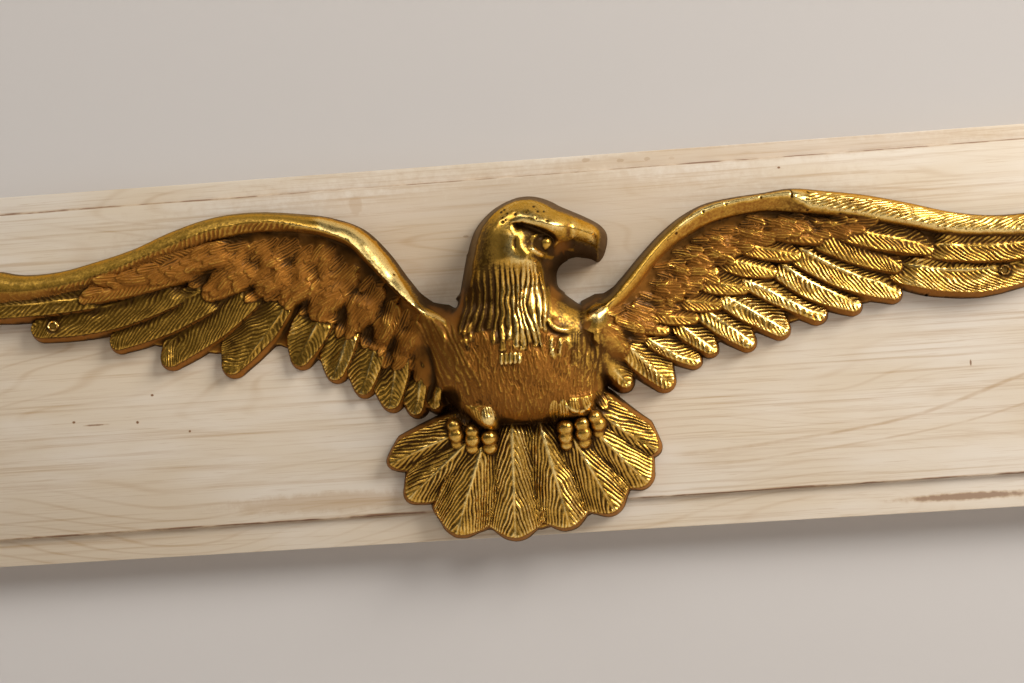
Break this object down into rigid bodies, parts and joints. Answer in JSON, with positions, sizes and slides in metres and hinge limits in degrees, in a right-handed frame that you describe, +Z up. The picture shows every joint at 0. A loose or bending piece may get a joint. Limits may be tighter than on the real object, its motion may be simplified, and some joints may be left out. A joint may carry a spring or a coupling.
{
  "type": "eagle wall plaque",
  "caption": "Cast eagle with spread wings and fanned tail, head in profile, pinned to a long pale wooden board that hangs flat on a wall.",
  "frame": {"origin": "centre of the board's flat back face, against the wall", "axes": "+X to the viewer's right along the board, +Y into the wall, +Z up; the eagle faces -Y"},
  "size_m": [0.61, 0.0601, 0.1865],
  "materials": {
    "limed_wood": "thin chalky whitewash rubbed into open horizontal grain, matt",
    "antiqued_gold_metal": "rubbed gold on the high places, red-brown to near black patina in the hollows",
    "pin_metal": "dull antiqued"
  },
  "bodies": {
    "root": {"backboard": "limed_wood", "eagle": "antiqued_gold_metal", "left_fixing_pin": "pin_metal", "right_fixing_pin": "pin_metal"}
  },
  "joints": []
}
